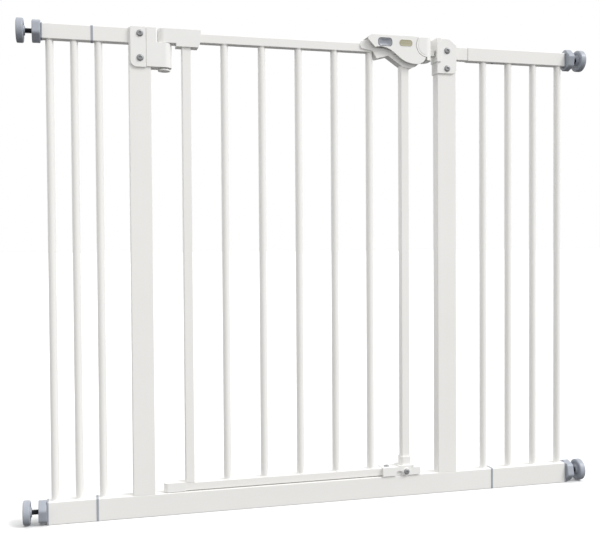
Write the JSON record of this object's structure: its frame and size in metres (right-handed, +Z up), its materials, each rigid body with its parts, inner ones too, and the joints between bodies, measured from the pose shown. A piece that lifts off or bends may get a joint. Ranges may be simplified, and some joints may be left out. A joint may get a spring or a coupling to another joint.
{
  "type": "safety baby gate",
  "caption": "Pressure-mounted metal safety gate with a swinging barred door, a lift-handle latch, a lower bolt, side extensions and screw-out wall cups.",
  "frame": {"origin": "on the floor under the bottom rail, midway between the two walls, in the middle plane of the gate", "axes": "+X along the gate towards the latch side, +Y away from the side with the front button, +Z up"},
  "size_m": [0.964, 0.0372, 0.778],
  "materials": {
    "white_steel": "satin powder coat",
    "white_plastic": "fine moulded grain",
    "grey_plastic": "smooth moulded",
    "pad_rubber": "soft matt",
    "zinc_steel": "zinc plated",
    "plain_steel": "bright",
    "dark_steel": "blackened thread"
  },
  "bodies": {
    "frame": {"frame_bottom_rail": "white_steel", "frame_left_post": "white_steel", "frame_right_post": "white_steel", "frame_left_top_rail": "white_steel", "frame_right_top_stub": "white_steel", "frame_right_top_rail": "white_steel", "left_side_bars": "white_steel", "right_side_bars": "white_steel", "left_extension_top_rail": "white_steel", "left_extension_bottom_rail": "white_steel", "right_extension_top_rail": "white_steel", "right_extension_bottom_rail": "white_steel", "rail_connectors": "grey_plastic", "end_plugs": "grey_plastic", "hinge_bracket_front": "white_plastic", "hinge_bracket_back": "white_plastic", "keeper_front": "white_plastic", "keeper_back": "white_plastic", "bracket_screws": "zinc_steel", "bracket_nuts": "zinc_steel", "top_hinge_pin": "white_plastic", "bottom_hinge_pin": "plain_steel", "bottom_hinge_washer": "grey_plastic", "lower_catch": "grey_plastic"},
    "door": {"door_top_rail": "white_steel", "door_bottom_rail": "white_steel", "door_hinge_upright": "white_steel", "door_latch_upright": "white_steel", "door_bars": "white_steel", "top_hinge_arm": "white_plastic", "bottom_hinge_cap": "white_plastic", "latch_base": "white_plastic", "lever_pin": "plain_steel", "lever_spring": "plain_steel", "lower_latch_housing": "white_plastic", "lower_latch_screws": "zinc_steel"},
    "lever": {"latch_lever": "white_plastic", "release_spring": "plain_steel"},
    "front_button": {"front_release_button": "grey_plastic"},
    "rear_button": {"rear_release_button": "grey_plastic"},
    "lift_rod": {"lift_rod": "plain_steel"},
    "top_bolt": {"top_bolt": "white_plastic"},
    "snap_button": {"snap_button": "grey_plastic"},
    "left_top_nut": {"left_top_hand_nut": "grey_plastic"},
    "left_top_foot": {"left_top_spindle": "dark_steel", "left_top_wall_cup": "grey_plastic", "left_top_cup_pad": "pad_rubber"},
    "left_bottom_nut": {"left_bottom_hand_nut": "grey_plastic"},
    "left_bottom_foot": {"left_bottom_spindle": "dark_steel", "left_bottom_wall_cup": "grey_plastic", "left_bottom_cup_pad": "pad_rubber"},
    "right_top_nut": {"right_top_hand_nut": "grey_plastic"},
    "right_top_foot": {"right_top_spindle": "dark_steel", "right_top_wall_cup": "grey_plastic", "right_top_cup_pad": "pad_rubber"},
    "right_bottom_nut": {"right_bottom_hand_nut": "grey_plastic"},
    "right_bottom_foot": {"right_bottom_spindle": "dark_steel", "right_bottom_wall_cup": "grey_plastic", "right_bottom_cup_pad": "pad_rubber"}
  },
  "joints": [
    {"name": "door_swing", "type": "hinge", "parent": "frame", "child": "door", "pos_m": [-0.2607, 0, 0.4], "axis": [0, 0, 1], "range_deg": [-90, 90]},
    {"name": "lever_lift", "type": "hinge", "parent": "door", "child": "lever", "pos_m": [0.179, 0, 0.7635], "axis": [0, 1, 0], "range_deg": [0, 15], "stiffness_Nm_per_rad": 0.6, "springref_deg": -11.46},
    {"name": "lift_rod_slide", "type": "slide", "parent": "door", "child": "lift_rod", "axis": [0, 0, 1], "range_m": [0, 0.01]},
    {"name": "top_bolt_slide", "type": "slide", "parent": "door", "child": "top_bolt", "axis": [1, 0, 0], "range_m": [-0.0071, 0]},
    {"name": "front_button_press", "type": "slide", "parent": "lever", "child": "front_button", "axis": [0, 1, 0], "range_m": [0, 0.003], "stiffness_N_per_m": 400, "springref_m": -0.002, "deforming": ["release_spring"]},
    {"name": "rear_button_press", "type": "slide", "parent": "lever", "child": "rear_button", "axis": [0, -1, 0], "range_m": [0, 0.003], "stiffness_N_per_m": 400, "springref_m": -0.002},
    {"name": "snap_button_press", "type": "slide", "parent": "frame", "child": "snap_button", "axis": [0, 0, 1], "range_m": [0, 0.0014], "stiffness_N_per_m": 500, "springref_m": -0.001},
    {"name": "left_top_nut_turn", "type": "hinge", "parent": "frame", "child": "left_top_nut", "pos_m": [-0.4529, 0, 0.75475], "axis": [-1, 0, 0], "range_deg": [-2880, 4320]},
    {"name": "left_top_foot_slide", "type": "slide", "parent": "frame", "child": "left_top_foot", "axis": [-1, 0, 0], "range_m": [-0.0101, 0.0151]},
    {"name": "left_bottom_nut_turn", "type": "hinge", "parent": "frame", "child": "left_bottom_nut", "pos_m": [-0.4529, 0, 0.0194], "axis": [-1, 0, 0], "range_deg": [-2880, 4320]},
    {"name": "left_bottom_foot_slide", "type": "slide", "parent": "frame", "child": "left_bottom_foot", "axis": [-1, 0, 0], "range_m": [-0.0101, 0.0151]},
    {"name": "right_top_nut_turn", "type": "hinge", "parent": "frame", "child": "right_top_nut", "pos_m": [0.4529, 0, 0.75475], "axis": [1, 0, 0], "range_deg": [-2880, 4320]},
    {"name": "right_top_foot_slide", "type": "slide", "parent": "frame", "child": "right_top_foot", "axis": [1, 0, 0], "range_m": [-0.0101, 0.0151]},
    {"name": "right_bottom_nut_turn", "type": "hinge", "parent": "frame", "child": "right_bottom_nut", "pos_m": [0.4529, 0, 0.0194], "axis": [1, 0, 0], "range_deg": [-2880, 4320]},
    {"name": "right_bottom_foot_slide", "type": "slide", "parent": "frame", "child": "right_bottom_foot", "axis": [1, 0, 0], "range_m": [-0.0101, 0.0151]}
  ],
  "couplings": [
    {"joint": "lift_rod_slide", "follows": "lever_lift", "m_per_rad": 0.0379},
    {"joint": "top_bolt_slide", "follows": "lever_lift", "m_per_rad": -0.0267},
    {"joint": "left_top_foot_slide", "follows": "left_top_nut_turn", "m_per_rad": 0.00019894},
    {"joint": "left_bottom_foot_slide", "follows": "left_bottom_nut_turn", "m_per_rad": 0.00019894},
    {"joint": "right_top_foot_slide", "follows": "right_top_nut_turn", "m_per_rad": 0.00019894},
    {"joint": "right_bottom_foot_slide", "follows": "right_bottom_nut_turn", "m_per_rad": 0.00019894}
  ]
}
